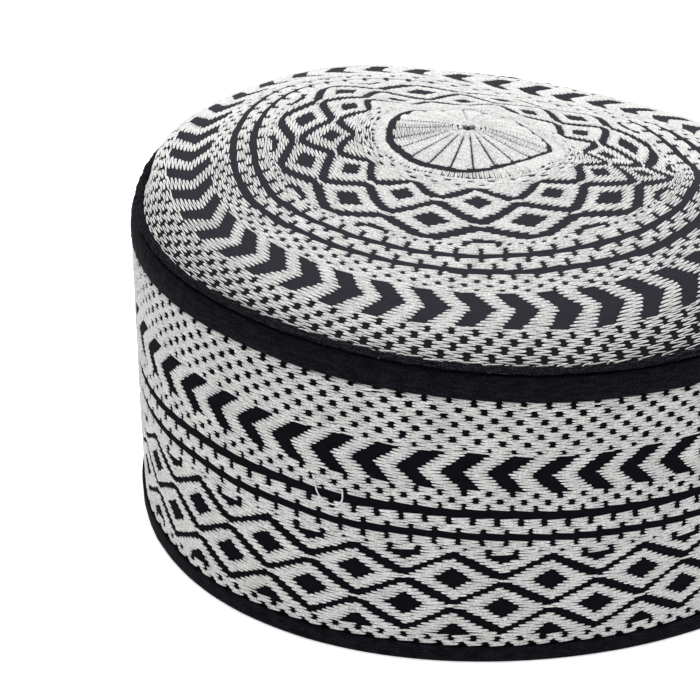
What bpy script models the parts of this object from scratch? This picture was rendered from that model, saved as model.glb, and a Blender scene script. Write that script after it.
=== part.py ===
"""Round embroidered kufi cap, standing on its hem.

Five cloth pieces: the domed crown, the side wall, the flat binding over the wall's top edge,
the rolled piping in the crown seam and the folded binding round the hem. Each piece is a
section turned about the cap's axis, and then moved by one soft form, because a cloth cap is
never quite round: its outline wanders, its top leans and its rim rises and falls.

Metres, +Z up. The hem's underside lies on z = 0, the front of the cap faces -Y, and the
origin is under the middle of the cap's box.
"""

import math
from collections import namedtuple

import bpy
from mathutils import Vector

MM = 0.001
STEPS_ROUND = 72
MERGE_DISTANCE = 0.01 * MM
SHARP_FOLD = math.radians(50)

# Driving sizes
HEIGHT_OF_FORM = 80.0 * MM
HIGHEST_RISE = 1.05
WALL_OUTER_RADIUS = 90.7 * MM
WALL_INNER_RADIUS = 88.0 * MM
GAP = 0.3 * MM

# The wall's edges are pressed thinner where the two bindings are folded over them.
PRESSED_TOP_RADIUS = 89.2 * MM
PRESSED_FOOT_RADIUS = 90.0 * MM
WALL_TOP = 79.2 * MM
BINDING_LOWER_EDGE = 76.3 * MM
BINDING_THICKNESS = 1.0 * MM
HEM_HEIGHT = 4.6 * MM
HEM_INSIDE_HEIGHT = 5.4 * MM
HEM_OUTER_RADIUS = 91.3 * MM
HEM_ROUNDING = 0.7 * MM
HEM_TOP_ROUNDING = 0.2 * MM
WALL_ROWS = 3

# The crown falls slowly as the square of the radius, and quickly at its shoulder.
CROWN_EDGE_RADIUS = 86.5 * MM
CROWN_EDGE_HEIGHT = 84.1 * MM
CROWN_HEIGHT = 107.6 * MM
CROWN_FALL = 19.6 * MM
SHOULDER_FALL = CROWN_HEIGHT - CROWN_FALL - CROWN_EDGE_HEIGHT
SHOULDER_POWER = 12
CROWN_THICKNESS = 2.0 * MM
CROWN_RINGS = [r * MM for r in (0, 8, 18, 30, 42, 54, 64, 72, 78, 82, 84.5, 86.5)]

Point = namedtuple("Point", "radius height")
Wave = namedtuple("Wave", "times_round cosine sine")
Dent = namedtuple("Dent", "x y turn half_length half_width depth")
Swell = namedtuple("Swell", "at half_width rise")

# The crown's edge turns down inside the piping and stands on the wall's top edge.
CROWN_TURNED_EDGE = [
    Point(87.8 * MM, 82.5 * MM),
    Point(88.4 * MM, 81.3 * MM),
    Point(88.5 * MM, WALL_TOP + GAP),
]

# Outer face of the flat binding, from the crease below the piping down to its lower edge
BINDING_FACE = [
    Point(89.1 * MM, 83.0 * MM),
    Point(89.8 * MM, 82.1 * MM),
    Point(90.3 * MM, 80.7 * MM),
    Point(90.5 * MM, 79.2 * MM),
    Point(90.5 * MM, BINDING_LOWER_EDGE),
]

# Section of the rolled piping, clockwise from its inner edge
PIPING_SECTION = [
    Point(86.9 * MM, 84.2 * MM),
    Point(87.5 * MM, 84.65 * MM),
    Point(88.2 * MM, 84.7 * MM),
    Point(88.9 * MM, 84.3 * MM),
    Point(89.4 * MM, 83.6 * MM),
    Point(89.0 * MM, 83.35 * MM),
    Point(88.4 * MM, 83.0 * MM),
    Point(87.6 * MM, 83.5 * MM),
]

# How the outline departs from a circle, as shares of the radius, less and less inside the rim
OUTLINE_WAVES = [
    Wave(0, 0.010, 0.0),
    Wave(1, 0.013, 0.008),
    Wave(2, 0.024, -0.024),
    Wave(3, 0.044, -0.006),
    Wave(4, 0.0, 0.006),
]
# What the outline gains on the way up, as shares of the radius
TOP_WAVES = [
    Wave(1, 0.006, 0.0),
    Wave(2, -0.003, -0.010),
    Wave(3, -0.008, 0.001),
]
# How the rim rises and falls, and how the crown does half way in
RIM_WAVES = [
    Wave(1, -0.26 * MM, 0.16 * MM),
    Wave(2, 0.15 * MM, 1.69 * MM),
    Wave(3, 0.29 * MM, -0.35 * MM),
]
CROWN_WAVES = [
    Wave(1, 0.0, -1.38 * MM),
    Wave(2, 2.44 * MM, -2.01 * MM),
    Wave(3, 0.64 * MM, 0.85 * MM),
]
RIM_LEAN = Vector((-4.1, -0.3)) * MM
CROWN_LEAN = Vector((-4.5, -5.0)) * MM

# Soft hollows pressed into the crown. The last one is a low swelling under the medallion.
CROWN_DENTS = [
    Dent(19.5 * MM, 8.5 * MM, math.radians(93), 19.6 * MM, 12.2 * MM, 4.5 * MM),
    Dent(45.5 * MM, 5.3 * MM, math.radians(70), 20.5 * MM, 15.1 * MM, 6.8 * MM),
    Dent(-18.5 * MM, 27.1 * MM, math.radians(-42), 18.4 * MM, 13.9 * MM, 2.9 * MM),
    Dent(-4.5 * MM, -5.0 * MM, 0.0, 13.0 * MM, 13.0 * MM, -1.7 * MM),
]

# Where the crown's shoulder swells over the seam, at the back and the sides
SHOULDER_SWELLS = [
    Swell(math.radians(173), math.radians(21), 3.0 * MM),
    Swell(math.radians(120), math.radians(30), 1.4 * MM),
    Swell(math.radians(50), math.radians(42), 1.5 * MM),
]
SWELL_START = 62 * MM
SWELL_SKEW = 2.6
SWELL_SPREAD = 0.8

CLOTH_COLOUR = (0.62, 0.61, 0.59, 1.0)
BLACK_COLOUR = (0.012, 0.012, 0.017, 1.0)


def wave_sum(waves, angle):
    return sum(
        wave.cosine * math.cos(wave.times_round * angle)
        + wave.sine * math.sin(wave.times_round * angle)
        for wave in waves
    )


def dent_depth(x, y):
    """How far the crown is pressed in at a place, each dent fading as a bell curve."""
    depth = 0.0
    for dent in CROWN_DENTS:
        along = (x - dent.x) * math.cos(dent.turn) + (y - dent.y) * math.sin(dent.turn)
        across = (y - dent.y) * math.cos(dent.turn) - (x - dent.x) * math.sin(dent.turn)
        spread = (along / dent.half_length) ** 2 + (across / dent.half_width) ** 2
        depth += dent.depth * math.exp(-spread)
    return depth


def shoulder_rise(angle, radius):
    """How far the crown's shoulder stands up, between where the swelling starts and the edge."""
    share = (radius - SWELL_START) / (CROWN_EDGE_RADIUS - SWELL_START)
    if not 0 < share < 1:
        return 0.0
    rise = 0.0
    for swell in SHOULDER_SWELLS:
        away = (angle - swell.at + math.pi) % math.tau - math.pi
        rise += swell.rise * math.exp(-((away / swell.half_width) ** 2))
    return rise * math.sin(math.pi * share**SWELL_SKEW) ** 2


def soft_form(point, dented):
    """Moves a point of the perfectly round cap to its place on the soft one."""
    angle = math.atan2(point.y, point.x)
    radius = math.hypot(point.x, point.y)
    rise = min(point.z / HEIGHT_OF_FORM, HIGHEST_RISE)
    out = min(radius / CROWN_EDGE_RADIUS, 1.0)
    to_rim = out**2
    waves = wave_sum(OUTLINE_WAVES, angle) + wave_sum(TOP_WAVES, angle) * rise
    swelling = shoulder_rise(angle, radius) if dented else 0.0
    radius = radius * (1 + waves * out) + SWELL_SPREAD * swelling
    lean = RIM_LEAN * rise * to_rim + CROWN_LEAN * (1 - to_rim)
    x = radius * math.cos(angle) + lean.x
    y = radius * math.sin(angle) + lean.y
    z = point.z + wave_sum(RIM_WAVES, angle) * rise * to_rim
    z += wave_sum(CROWN_WAVES, angle) * 4 * to_rim * (1 - to_rim)
    if dented:
        z += swelling - dent_depth(x, y)
    return Vector((x, y, z))


def dome_height(radius):
    share = radius / CROWN_EDGE_RADIUS
    return CROWN_HEIGHT - CROWN_FALL * share**2 - SHOULDER_FALL * share**SHOULDER_POWER


def inner_face(face, thickness):
    """The other side of a cloth of even thickness, for a face that runs down its outer side."""
    inner = []
    for n, here in enumerate(face):
        before = face[max(n - 1, 0)]
        after = face[min(n + 1, len(face) - 1)]
        run = Vector((after.radius - before.radius, after.height - before.height)).normalized()
        inner.append(Point(here.radius + run.y * thickness, here.height - run.x * thickness))
    return inner


def crown_section():
    outer = [Point(radius, dome_height(radius)) for radius in CROWN_RINGS]
    inner = [
        Point(max(point.radius, 0.0), point.height)
        for point in inner_face(outer, CROWN_THICKNESS)
    ]
    inner[0] = Point(0.0, CROWN_HEIGHT - CROWN_THICKNESS)
    foot = CROWN_TURNED_EDGE[-1]
    inner_foot = Point(foot.radius - CROWN_THICKNESS, foot.height)
    return outer + CROWN_TURNED_EDGE + [inner_foot] + inner[::-1]


def wall_section():
    pressed_top = BINDING_LOWER_EDGE - GAP
    pressed_foot = HEM_HEIGHT + GAP
    foot = BINDING_THICKNESS + GAP
    face = [
        Point(WALL_OUTER_RADIUS, pressed_top + (pressed_foot - pressed_top) * row / WALL_ROWS)
        for row in range(WALL_ROWS + 1)
    ]
    return (
        [Point(PRESSED_TOP_RADIUS, WALL_TOP), Point(PRESSED_TOP_RADIUS, pressed_top)]
        + face
        + [
            Point(PRESSED_FOOT_RADIUS, pressed_foot),
            Point(PRESSED_FOOT_RADIUS, foot),
            Point(WALL_INNER_RADIUS, foot),
            Point(WALL_INNER_RADIUS, WALL_TOP),
        ]
    )


def binding_section():
    return BINDING_FACE + inner_face(BINDING_FACE, BINDING_THICKNESS)[::-1]


def hem_section():
    """A strip folded round the wall's lower edge, flat underneath where it stands."""
    outer_leg = PRESSED_FOOT_RADIUS + GAP
    inner_leg = WALL_INNER_RADIUS - GAP
    inside = inner_leg - BINDING_THICKNESS
    return [
        Point(outer_leg, HEM_HEIGHT),
        Point(HEM_OUTER_RADIUS - HEM_TOP_ROUNDING, HEM_HEIGHT),
        Point(HEM_OUTER_RADIUS, HEM_HEIGHT - HEM_ROUNDING),
        Point(HEM_OUTER_RADIUS, HEM_ROUNDING),
        Point(HEM_OUTER_RADIUS - HEM_ROUNDING, 0.0),
        Point(inside + HEM_ROUNDING, 0.0),
        Point(inside, HEM_ROUNDING),
        Point(inside, HEM_INSIDE_HEIGHT),
        Point(inner_leg, HEM_INSIDE_HEIGHT),
        Point(inner_leg, BINDING_THICKNESS),
        Point(outer_leg, BINDING_THICKNESS),
    ]


def matte_material(name, colour, roughness):
    material = bpy.data.materials.new(name)
    material.use_nodes = True
    shader = material.node_tree.nodes["Principled BSDF"]
    shader.inputs["Base Color"].default_value = colour
    shader.inputs["Roughness"].default_value = roughness
    shader.inputs["Metallic"].default_value = 0.0
    return material


def turned_piece(name, section, material, collection, closed=True, dented=False):
    """Turns a section about the cap's axis, then gives the ring its soft form."""
    profile = bpy.data.meshes.new(name + "_profile")
    points = [(point.radius, 0.0, point.height) for point in section]
    edges = [(n, n + 1) for n in range(len(points) - 1)]
    if closed:
        edges.append((len(points) - 1, 0))
    profile.from_pydata(points, edges, [])
    piece = bpy.data.objects.new(name, profile)
    collection.objects.link(piece)
    screw = piece.modifiers.new("turn", "SCREW")
    screw.axis = "Z"
    screw.steps = STEPS_ROUND
    screw.render_steps = STEPS_ROUND
    screw.use_merge_vertices = True
    screw.merge_threshold = MERGE_DISTANCE
    graph = bpy.context.evaluated_depsgraph_get()
    mesh = bpy.data.meshes.new_from_object(piece.evaluated_get(graph))
    piece.modifiers.clear()
    piece.data = mesh
    bpy.data.meshes.remove(profile)
    mesh.name = name
    for vertex in mesh.vertices:
        vertex.co = soft_form(vertex.co, dented)
    mesh.materials.append(material)
    mesh.shade_smooth()
    mesh.set_sharp_from_angle(angle=SHARP_FOLD)
    return piece


def centre_over_origin(pieces):
    """Moves every mesh so that the middle of the whole cap's box is over the origin."""
    xs = [vertex.co.x for piece in pieces for vertex in piece.data.vertices]
    ys = [vertex.co.y for piece in pieces for vertex in piece.data.vertices]
    shift = Vector(((min(xs) + max(xs)) / 2, (min(ys) + max(ys)) / 2, 0.0))
    for piece in pieces:
        for vertex in piece.data.vertices:
            vertex.co -= shift


def main():
    for obj in list(bpy.data.objects):
        bpy.data.objects.remove(obj, do_unlink=True)
    cap = bpy.data.collections.new("kufi_cap")
    bpy.context.scene.collection.children.link(cap)
    crown_cloth = matte_material("crown_cloth", CLOTH_COLOUR, 0.85)
    wall_cloth = matte_material("wall_cloth", CLOTH_COLOUR, 0.85)
    binding_cloth = matte_material("binding_cloth", BLACK_COLOUR, 0.8)
    piping_cloth = matte_material("piping_cloth", BLACK_COLOUR, 0.9)
    hem_cloth = matte_material("hem_cloth", BLACK_COLOUR, 0.8)
    pieces = [
        turned_piece("crown", crown_section(), crown_cloth, cap, closed=False, dented=True),
        turned_piece("side_wall", wall_section(), wall_cloth, cap),
        turned_piece("top_binding", binding_section(), binding_cloth, cap),
        turned_piece("crown_piping", PIPING_SECTION, piping_cloth, cap),
        turned_piece("hem_binding", hem_section(), hem_cloth, cap),
    ]
    centre_over_origin(pieces)


main()
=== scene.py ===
"""Embroidered kufi cap, standing on its hem on a pale studio floor.

The cap is sewn from a domed crown and an upright wall, both of black cloth filled with rows of white
thread, with a flat binding and a rolled piping at the crown seam and a binding folded round the hem.
Every stitch is a raised thread of its own. Where thread shows is worked out from small charts, and
each chart is a table of motifs that repeat round the cap.

Sections, charts and the soft form are in millimetres. The meshes are in metres, in the frame's place.
"""

import math
from collections import namedtuple

import bmesh
import bpy
import numpy as np
from mathutils import Matrix, Vector, noise


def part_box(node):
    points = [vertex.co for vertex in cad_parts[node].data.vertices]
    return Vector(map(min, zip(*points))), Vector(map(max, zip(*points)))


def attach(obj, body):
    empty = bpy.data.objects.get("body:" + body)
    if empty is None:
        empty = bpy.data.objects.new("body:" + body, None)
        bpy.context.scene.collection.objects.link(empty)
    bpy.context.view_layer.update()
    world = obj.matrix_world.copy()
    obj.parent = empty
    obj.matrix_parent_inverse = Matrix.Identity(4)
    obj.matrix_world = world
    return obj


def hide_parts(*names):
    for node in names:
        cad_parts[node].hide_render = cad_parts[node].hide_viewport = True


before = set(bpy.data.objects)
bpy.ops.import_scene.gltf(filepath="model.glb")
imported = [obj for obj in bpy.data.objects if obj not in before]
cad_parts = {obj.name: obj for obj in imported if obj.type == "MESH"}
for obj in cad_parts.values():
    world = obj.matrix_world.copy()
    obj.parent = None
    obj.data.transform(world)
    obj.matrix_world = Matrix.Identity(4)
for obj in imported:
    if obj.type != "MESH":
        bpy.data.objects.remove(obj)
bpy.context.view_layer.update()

MM = 0.001
chance = np.random.default_rng(11)

# The soft form, as the CAD has it

STEPS_ROUND = 72
HEIGHT_OF_FORM = 80.0
HIGHEST_RISE = 1.05
CROWN_EDGE_RADIUS = 86.5
CROWN_EDGE_HEIGHT = 84.1
CROWN_HEIGHT = 107.6
CROWN_FALL = 19.6
SHOULDER_FALL = CROWN_HEIGHT - CROWN_FALL - CROWN_EDGE_HEIGHT
SHOULDER_POWER = 12
HEM_RADIUS = 91.3
HEM_FACE = (0.7, 3.9)

Wave = namedtuple("Wave", "times_round cosine sine")
Dent = namedtuple("Dent", "x y turn half_length half_width depth")
Swell = namedtuple("Swell", "at half_width rise")

OUTLINE_WAVES = [
    Wave(0, 0.010, 0.0),
    Wave(1, 0.013, 0.008),
    Wave(2, 0.024, -0.024),
    Wave(3, 0.044, -0.006),
    Wave(4, 0.0, 0.006),
]
TOP_WAVES = [Wave(1, 0.006, 0.0), Wave(2, -0.003, -0.010), Wave(3, -0.008, 0.001)]
RIM_WAVES = [Wave(1, -0.26, 0.16), Wave(2, 0.15, 1.69), Wave(3, 0.29, -0.35)]
CROWN_WAVES = [Wave(1, 0.0, -1.38), Wave(2, 2.44, -2.01), Wave(3, 0.64, 0.85)]
RIM_LEAN = (-4.1, -0.3)
CROWN_LEAN = (-4.5, -5.0)
CROWN_DENTS = [
    Dent(19.5, 8.5, math.radians(93), 19.6, 12.2, 4.5),
    Dent(45.5, 5.3, math.radians(70), 20.5, 15.1, 6.8),
    Dent(-18.5, 27.1, math.radians(-42), 18.4, 13.9, 2.9),
    Dent(-4.5, -5.0, 0.0, 13.0, 13.0, -1.7),
]
SHOULDER_SWELLS = [
    Swell(math.radians(173), math.radians(21), 3.0),
    Swell(math.radians(120), math.radians(30), 1.4),
    Swell(math.radians(50), math.radians(42), 1.5),
]
SWELL_START = 62.0
SWELL_SKEW = 2.6
SWELL_SPREAD = 0.8


def wave_sum(waves, angle):
    return sum(
        wave.cosine * np.cos(wave.times_round * angle)
        + wave.sine * np.sin(wave.times_round * angle)
        for wave in waves
    )


def dent_depth(x, y):
    """How far the crown is pressed in at a place, each dent fading as a bell curve."""
    depth = 0.0
    for dent in CROWN_DENTS:
        along = (x - dent.x) * math.cos(dent.turn) + (y - dent.y) * math.sin(dent.turn)
        across = (y - dent.y) * math.cos(dent.turn) - (x - dent.x) * math.sin(dent.turn)
        spread = (along / dent.half_length) ** 2 + (across / dent.half_width) ** 2
        depth = depth + dent.depth * np.exp(-spread)
    return depth


def shoulder_rise(angle, radius):
    """How far the crown's shoulder stands up, between where the swelling starts and the edge."""
    share = np.clip((radius - SWELL_START) / (CROWN_EDGE_RADIUS - SWELL_START), 0.0, 1.0)
    rise = 0.0
    for swell in SHOULDER_SWELLS:
        away = (angle - swell.at + math.pi) % math.tau - math.pi
        rise = rise + swell.rise * np.exp(-((away / swell.half_width) ** 2))
    return rise * np.sin(math.pi * share**SWELL_SKEW) ** 2


def soft_form(angle, radius, height, dented=False):
    """Where points of the perfectly round cap lie on the soft one."""
    rise = np.minimum(height / HEIGHT_OF_FORM, HIGHEST_RISE)
    out = np.minimum(radius / CROWN_EDGE_RADIUS, 1.0)
    to_rim = out**2
    waves = wave_sum(OUTLINE_WAVES, angle) + wave_sum(TOP_WAVES, angle) * rise
    swelling = shoulder_rise(angle, radius) if dented else 0.0
    radius = radius * (1 + waves * out) + SWELL_SPREAD * swelling
    x = radius * np.cos(angle) + RIM_LEAN[0] * rise * to_rim + CROWN_LEAN[0] * (1 - to_rim)
    y = radius * np.sin(angle) + RIM_LEAN[1] * rise * to_rim + CROWN_LEAN[1] * (1 - to_rim)
    z = height + wave_sum(RIM_WAVES, angle) * rise * to_rim
    z = z + wave_sum(CROWN_WAVES, angle) * 4 * to_rim * (1 - to_rim)
    if dented:
        z = z + swelling - dent_depth(x, y)
    return np.stack([x, y, z], axis=-1)


def dome_height(radius):
    share = radius / CROWN_EDGE_RADIUS
    return CROWN_HEIGHT - CROWN_FALL * share**2 - SHOULDER_FALL * share**SHOULDER_POWER


def middle_of_form():
    """The CAD puts the middle of its box over the origin, so its hem gives how far it was moved."""
    angle = np.radians(np.arange(STEPS_ROUND) * 360 / STEPS_ROUND)
    ring = np.concatenate([soft_form(angle, HEM_RADIUS, height) for height in HEM_FACE])
    low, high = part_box("hem_binding")
    moved = (ring.min(0) + ring.max(0)) / 2 - np.array(low + high) / 2 / MM
    return np.array([moved[0], moved[1], 0.0])


MIDDLE = middle_of_form()

# Lengths round the wall are measured along the cloth, from the middle of the front.
WALL_ANGLES = np.linspace(0, math.tau, 2881)
_ring = soft_form(WALL_ANGLES, 91.0, 40.0)[:, :2]
WALL_ARCS = np.concatenate([[0], np.cumsum(np.linalg.norm(np.diff(_ring, axis=0), axis=1))])
WALL_ROUND = float(WALL_ARCS[-1])
FRONT_ARC = float(np.interp(1.5 * math.pi, WALL_ANGLES, WALL_ARCS))

# Materials


def new_finish(name, roughness, **sockets):
    """An empty finish with its nodes, its shader and its links to hand."""
    finish = bpy.data.materials.new(name)
    finish.use_nodes = True
    tree = finish.node_tree
    shader = tree.nodes["Principled BSDF"]
    shader.inputs["Roughness"].default_value = roughness
    shader.inputs["Metallic"].default_value = 0.0
    for socket, value in sockets.items():
        shader.inputs[socket.replace("_", " ")].default_value = value
    return finish, tree, shader


def place_node(tree, source):
    return tree.nodes.new("ShaderNodeTexCoord").outputs[source]


def noise_node(tree, vector, scale, detail=3.0, stretch=(1, 1, 1)):
    mapping = tree.nodes.new("ShaderNodeMapping")
    mapping.inputs["Scale"].default_value = stretch
    tree.links.new(vector, mapping.inputs["Vector"])
    cloud = tree.nodes.new("ShaderNodeTexNoise")
    cloud.inputs["Scale"].default_value = scale
    cloud.inputs["Detail"].default_value = detail
    tree.links.new(mapping.outputs["Vector"], cloud.inputs["Vector"])
    return cloud.outputs["Fac"]


def ramp_node(tree, value, stops):
    ramp = tree.nodes.new("ShaderNodeValToRGB")
    ramp.color_ramp.elements[0].position = stops[0][0]
    ramp.color_ramp.elements[0].color = (*stops[0][1], 1)
    ramp.color_ramp.elements[1].position = stops[-1][0]
    ramp.color_ramp.elements[1].color = (*stops[-1][1], 1)
    for position, colour in stops[1:-1]:
        stop = ramp.color_ramp.elements.new(position)
        stop.color = (*colour, 1)
    tree.links.new(value, ramp.inputs["Fac"])
    return ramp.outputs["Color"]


def maths_node(tree, operation, first, second):
    sums = tree.nodes.new("ShaderNodeMath")
    sums.operation = operation
    for socket, value in zip(sums.inputs, (first, second)):
        if isinstance(value, (int, float)):
            socket.default_value = value
        else:
            tree.links.new(value, socket)
    return sums.outputs["Value"]


def ribs_node(tree, vector, scale, direction, distortion=0.6):
    ribs = tree.nodes.new("ShaderNodeTexWave")
    ribs.wave_type = "BANDS"
    ribs.bands_direction = direction
    ribs.inputs["Scale"].default_value = scale
    ribs.inputs["Distortion"].default_value = distortion
    ribs.inputs["Detail"].default_value = 1.0
    tree.links.new(vector, ribs.inputs["Vector"])
    return ribs.outputs["Fac"]


def raise_nodes(tree, shader, height, distance, strength=1.0):
    bump = tree.nodes.new("ShaderNodeBump")
    bump.inputs["Strength"].default_value = strength
    bump.inputs["Distance"].default_value = distance
    tree.links.new(height, bump.inputs["Height"])
    tree.links.new(bump.outputs["Normal"], shader.inputs["Normal"])


def mixed(tree, first, first_share, second, second_share):
    """Two patterns added together, each by its share."""
    return maths_node(
        tree,
        "ADD",
        maths_node(tree, "MULTIPLY", first, first_share),
        maths_node(tree, "MULTIPLY", second, second_share),
    )


# The darkest stop of the black cloth, which the painted shade between the stitches mostly reaches.
DEEP_BLACK_AND_PAINTED_SHADE = (0.0010, 0.0010, 0.0018)
WEAVE_SCALE = 0.9
CROSSING_WEAVE_SCALE = WEAVE_SCALE * 1.4
WEAVE_BUMP = 0.00006
WEAVE_STOPS = (0.0, 0.35, 0.95)
PAINTED_SHADE_BETWEEN_STITCHES = 0.6


def woven_black(name, dark, light, roughness, specular, painted_shade_below=None):
    """Closely woven black cloth: two crossing sets of fine ribs, slightly uneven in tone.

    Below the given place up its surface the cloth between the stitches is painted darker, as painted
    shade from the stitches.
    """
    finish, tree, shader = new_finish(name, roughness, Specular_IOR_Level=specular)
    surface = place_node(tree, "UV")
    across = ribs_node(tree, surface, WEAVE_SCALE, "DIAGONAL")
    along = ribs_node(tree, surface, CROSSING_WEAVE_SCALE, "Y")
    weave = maths_node(tree, "MULTIPLY", across, along)
    patches = noise_node(tree, surface, scale=0.35, detail=4.0)
    grain = noise_node(tree, surface, scale=4.0, detail=2.0)
    uneven_tone = mixed(tree, patches, 0.4, grain, 0.6)
    tone = maths_node(tree, "ADD", maths_node(tree, "MULTIPLY", weave, 0.5), uneven_tone)
    # Painted shade: below the given place the base colour is darkened between the stitches.
    if painted_shade_below is not None:
        parts = tree.nodes.new("ShaderNodeSeparateXYZ")
        tree.links.new(surface, parts.inputs["Vector"])
        under = maths_node(tree, "SUBTRACT", painted_shade_below, parts.outputs["Y"])
        shade = maths_node(tree, "MAXIMUM", maths_node(tree, "MINIMUM", under, 1.0), 0.0)
        darker = maths_node(tree, "MULTIPLY", shade, PAINTED_SHADE_BETWEEN_STITCHES)
        tone = maths_node(tree, "SUBTRACT", tone, darker)
    colour = ramp_node(tree, tone, list(zip(WEAVE_STOPS, (DEEP_BLACK_AND_PAINTED_SHADE, dark, light))))
    tree.links.new(colour, shader.inputs["Base Color"])
    raise_nodes(tree, shader, maths_node(tree, "ADD", weave, grain), WEAVE_BUMP)
    return finish


THREAD_STOPS = [(0.32, (0.42, 0.42, 0.412)), (0.5, (0.65, 0.65, 0.64)), (0.68, (0.87, 0.87, 0.86))]
THREAD_BUMP = 0.00005


def embroidery_thread():
    """Soft white thread with a low lustre, a little greyer in random patches, and painted greyer between
    strands where its bump is low, as painted shade.
    """
    finish, tree, shader = new_finish("embroidery_thread", 0.60, Specular_IOR_Level=0.25)
    body = place_node(tree, "Object")
    patches = noise_node(tree, body, scale=160.0, detail=3.0)
    strands = noise_node(tree, body, scale=1900.0, detail=2.0)
    # Random patches, plus painted shade: the strand noise also drives the bump, so hollows between
    # strands are greyer.
    tone = mixed(tree, patches, 0.2, strands, 0.8)
    tree.links.new(ramp_node(tree, tone, THREAD_STOPS), shader.inputs["Base Color"])
    raise_nodes(tree, shader, strands, THREAD_BUMP)
    return finish


COTTON_STOPS = (0.41, 0.51, 0.62)
STRIP_SHADES = [(0.0006, 0.0006, 0.0011), (0.0042, 0.0043, 0.0070), (0.0115, 0.0120, 0.0175)]
# The piping is the same black cloth as the strip, with lighter colours as painted top light on the rolled
# piping.
PIPING_PAINTED_TOP_LIGHT_SHADES = [(0.0008, 0.0008, 0.0012), (0.0070, 0.0072, 0.0105), (0.031, 0.032, 0.041)]


def binding_cotton(name, shades, stretch, bump):
    """Black binding cloth: fine ribs and fluff, painted a little lighter on its raised folds and fluff as
    a painted highlight, and darker in the hollows as painted shade.
    """
    finish, tree, shader = new_finish(name, 0.85, Specular_IOR_Level=0.05)
    surface = place_node(tree, "UV")
    ribs = ribs_node(tree, surface, 0.8, "X", distortion=1.5)
    folds = noise_node(tree, surface, scale=0.5, detail=4.0, stretch=stretch)
    fluff = noise_node(tree, surface, scale=2.2, detail=3.0)
    # Painted highlight and shade: the colour follows the folds and fluff of the bump, lighter where
    # raised.
    tone = mixed(tree, fluff, 0.65, folds, 0.35)
    stops = list(zip(COTTON_STOPS, shades))
    tree.links.new(ramp_node(tree, tone, stops), shader.inputs["Base Color"])
    low_ribs = maths_node(tree, "MULTIPLY", ribs, 0.25)
    height = maths_node(tree, "ADD", low_ribs, maths_node(tree, "ADD", folds, fluff))
    raise_nodes(tree, shader, height, bump)
    return finish


# Spun pieces


def finished_object(name, mesh, finish, replaced=()):
    piece = bpy.data.objects.new(name, mesh)
    bpy.context.scene.collection.objects.link(piece)
    mesh.materials.append(finish)
    mesh.shade_smooth()
    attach(piece, "root")
    if replaced:
        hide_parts(*replaced)
    return piece


def smooth_section(section, spacing):
    """Adds points along a section's straight runs, no further apart than the spacing."""
    points = []
    for here, after in zip(section, section[1:]):
        length = math.dist(here, after)
        parts = max(1, math.ceil(length / spacing))
        for part in range(parts):
            share = part / parts
            points.append(tuple(a + (b - a) * share for a, b in zip(here, after)))
    return points + [section[-1]]


def rounded_section(section, cuts=2):
    """Rounds the corners of a section by cutting them again and again."""
    for _ in range(cuts):
        soft = [section[0]]
        for here, after in zip(section, section[1:]):
            soft.append(tuple(a * 0.75 + b * 0.25 for a, b in zip(here, after)))
            soft.append(tuple(a * 0.25 + b * 0.75 for a, b in zip(here, after)))
        soft.append(section[-1])
        section = soft
    return section


def angle_and_radius(place):
    return np.arctan2(place[:, 1], place[:, 0]), np.hypot(place[:, 0], place[:, 1])


def spun_piece(name, section, steps, finish, replaced, relief=None, closed=True, dented=False):
    """Spins a section about the cap's axis, gives it its small relief and then the soft form."""
    shape = bmesh.new()
    ring = [shape.verts.new((radius, 0.0, height)) for radius, height in section]
    edges = [shape.edges.new(pair) for pair in zip(ring, ring[1:])]
    if closed:
        edges.append(shape.edges.new((ring[-1], ring[0])))
    bmesh.ops.spin(
        shape, geom=ring + edges, cent=(0, 0, 0), axis=(0, 0, 1),
        angle=math.tau, steps=steps, use_merge=True,
    )
    bmesh.ops.remove_doubles(shape, verts=shape.verts, dist=0.001)
    bmesh.ops.recalc_face_normals(shape, faces=shape.faces)
    shape.normal_update()
    mesh = bpy.data.meshes.new(name)
    shape.to_mesh(mesh)
    shape.free()
    count = len(mesh.vertices)
    round_place = np.empty(count * 3)
    mesh.vertices.foreach_get("co", round_place)
    round_place = round_place.reshape(-1, 3)
    normal = np.empty(count * 3, np.float32)
    mesh.vertex_normals.foreach_get("vector", normal)
    if relief:
        proud = relief(*angle_and_radius(round_place), round_place[:, 2])
        round_place = round_place + normal.reshape(-1, 3) * proud[:, None]
    lay_out_surface(mesh, round_place)
    soft_place = soft_form(*angle_and_radius(round_place), round_place[:, 2], dented)
    place = (soft_place - MIDDLE) * MM
    mesh.vertices.foreach_set("co", place.ravel())
    mesh.update()
    return finished_object(name, mesh, finish, replaced)


MAP_RADIUS = 90.0


def lay_out_surface(mesh, place):
    """Gives a spun mesh its own map in millimetres: round the cap, and out and up together."""
    corners = np.empty(len(mesh.loops), int)
    mesh.loops.foreach_get("vertex_index", corners)
    angle, radius = angle_and_radius(place[corners])
    height = place[corners, 2]
    starts = np.empty(len(mesh.polygons), int)
    mesh.polygons.foreach_get("loop_start", starts)
    face_of = np.repeat(np.arange(len(starts)), np.diff(np.append(starts, len(corners))))
    reference = angle[starts][face_of]
    angle = angle + math.tau * np.round((reference - angle) / math.tau)
    surface = np.stack([angle * MAP_RADIUS, height - radius], axis=-1)
    layer = mesh.uv_layers.new(name="surface")
    layer.uv.foreach_set("vector", surface.astype(np.float32).ravel())


def noise_over(points, scale, seed):
    """Smooth noise from -1 to 1 at each point, with points given in millimetres."""
    away = Vector((seed * 17.3, seed * 5.1, seed * 9.7))
    return np.array([noise.noise(Vector(point) / scale + away) for point in points])


# The cloth under the embroidery

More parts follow.
